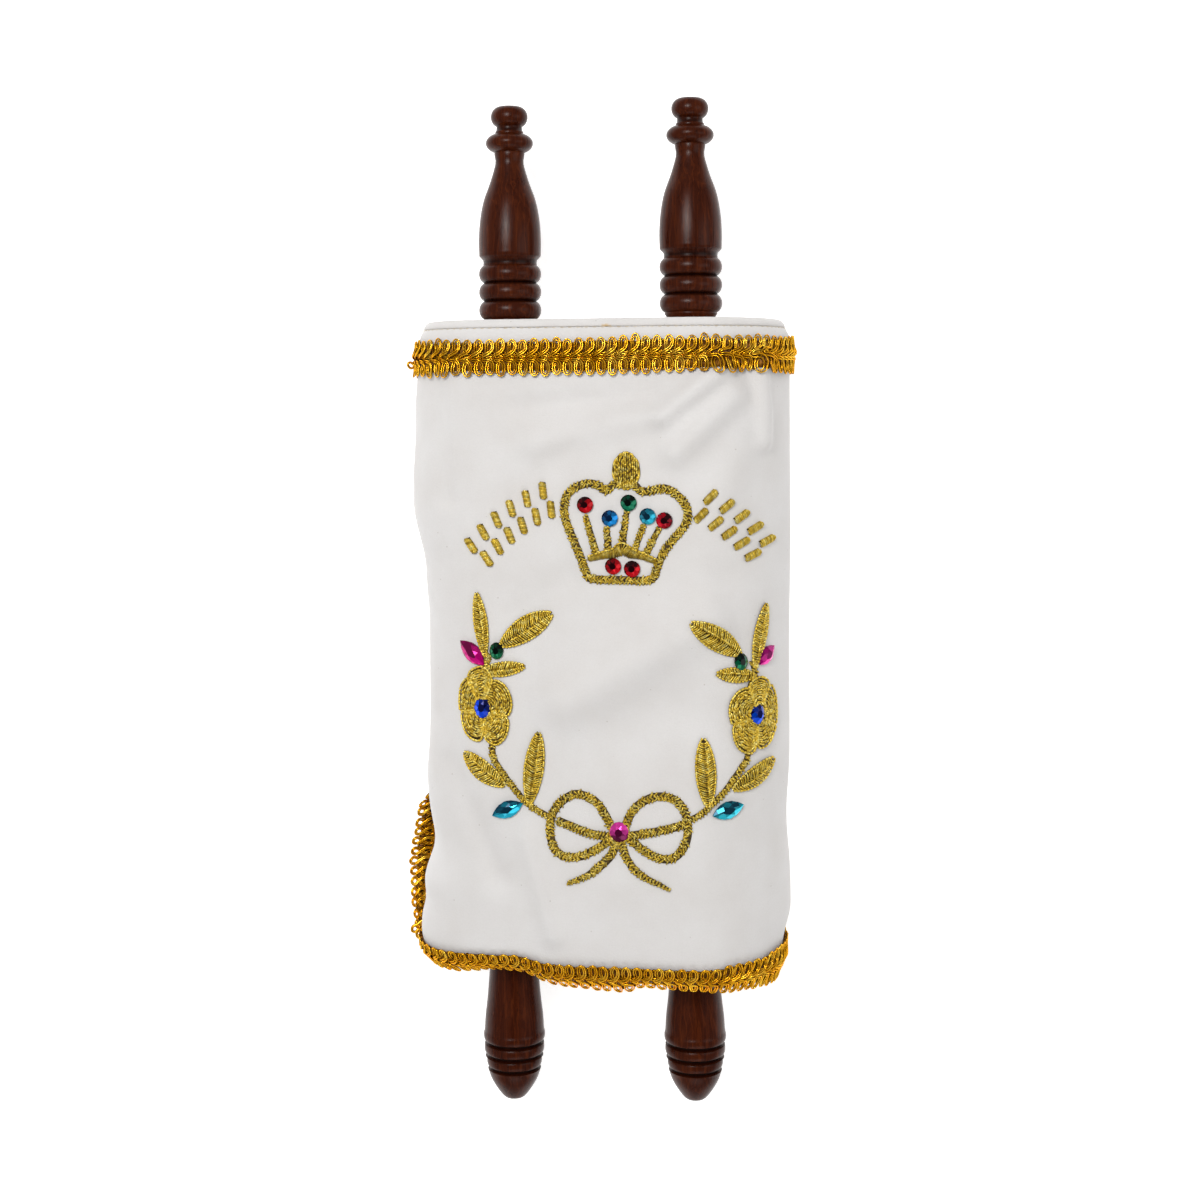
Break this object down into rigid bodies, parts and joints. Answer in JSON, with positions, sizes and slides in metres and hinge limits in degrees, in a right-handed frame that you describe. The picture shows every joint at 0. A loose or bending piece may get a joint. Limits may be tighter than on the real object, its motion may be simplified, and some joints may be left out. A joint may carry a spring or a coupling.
{
  "type": "torah scroll",
  "caption": "Small Torah scroll on two turned wooden rollers, lying on its back in a white cloth mantle with gold braid, an embroidered crown, wreath and bow, and coloured stones.",
  "frame": {"origin": "middle of the scroll's footprint on the surface it lies on, at z = 0", "axes": "+Y along the rollers towards the long upper handles, +Z out of the embroidered front, +X to the right as the front is read"},
  "size_m": [0.15, 0.3792, 0.0782],
  "materials": {
    "wood": "dark red-brown stained and lacquered hardwood, turned, glossy, with fine lengthwise pores",
    "paper": "tightly rolled cream scroll paper, its edges showing as fine spiral lines",
    "mantle_cloth": "white short-pile plush cloth, matt, with soft folds",
    "gimp_braid": "gold gimp braid of looped wrapped cord, satin sheen",
    "gold_thread": "antique gold metallic embroidery thread, satin stitch and stitched bands",
    "stone_ruby": "foil-backed faceted stone, deep red, mirror gloss",
    "stone_azure": "foil-backed faceted stone, azure blue, mirror gloss",
    "stone_emerald": "foil-backed faceted stone, dark emerald green, mirror gloss",
    "stone_sapphire": "foil-backed faceted stone, royal blue, mirror gloss",
    "stone_magenta": "foil-backed faceted stone, magenta pink, mirror gloss",
    "stone_aqua": "foil-backed faceted stone, aqua blue, mirror gloss"
  },
  "bodies": {
    "root": {"roller_left": "wood", "roller_right": "wood", "paper_scroll": "paper", "mantle_body": "mantle_cloth", "mantle_top": "mantle_cloth", "braid_top": "gimp_braid", "braid_hem": "gimp_braid", "braid_slit": "gimp_braid", "crown": "gold_thread", "wreath_left": "gold_thread", "wreath_right": "gold_thread", "bow": "gold_thread", "stroke_left_upper_1": "gold_thread", "stroke_left_upper_2": "gold_thread", "stroke_left_upper_3": "gold_thread", "stroke_left_upper_4": "gold_thread", "stroke_left_upper_5": "gold_thread", "stroke_left_upper_6": "gold_thread", "stroke_left_lower_1": "gold_thread", "stroke_left_lower_2": "gold_thread", "stroke_left_lower_3": "gold_thread", "stroke_left_lower_4": "gold_thread", "stroke_left_lower_5": "gold_thread", "stroke_left_lower_6": "gold_thread", "stroke_right_upper_1": "gold_thread", "stroke_right_upper_2": "gold_thread", "stroke_right_upper_3": "gold_thread", "stroke_right_upper_4": "gold_thread", "stroke_right_upper_5": "gold_thread", "stroke_right_lower_1": "gold_thread", "stroke_right_lower_2": "gold_thread", "stroke_right_lower_3": "gold_thread", "stroke_right_lower_4": "gold_thread", "stroke_right_lower_5": "gold_thread", "stone_ruby_crown_left": "stone_ruby", "stone_ruby_crown_right": "stone_ruby", "stone_ruby_headband_left": "stone_ruby", "stone_ruby_headband_right": "stone_ruby", "stone_azure_crown_left": "stone_azure", "stone_azure_crown_right": "stone_azure", "stone_emerald_crown": "stone_emerald", "stone_emerald_leaf_left": "stone_emerald", "stone_emerald_leaf_right": "stone_emerald", "stone_sapphire_flower_left": "stone_sapphire", "stone_sapphire_flower_right": "stone_sapphire", "stone_magenta_bow": "stone_magenta", "stone_magenta_leaf_left": "stone_magenta", "stone_magenta_leaf_right": "stone_magenta", "stone_aqua_leaf_left": "stone_aqua", "stone_aqua_leaf_right": "stone_aqua"}
  },
  "joints": []
}
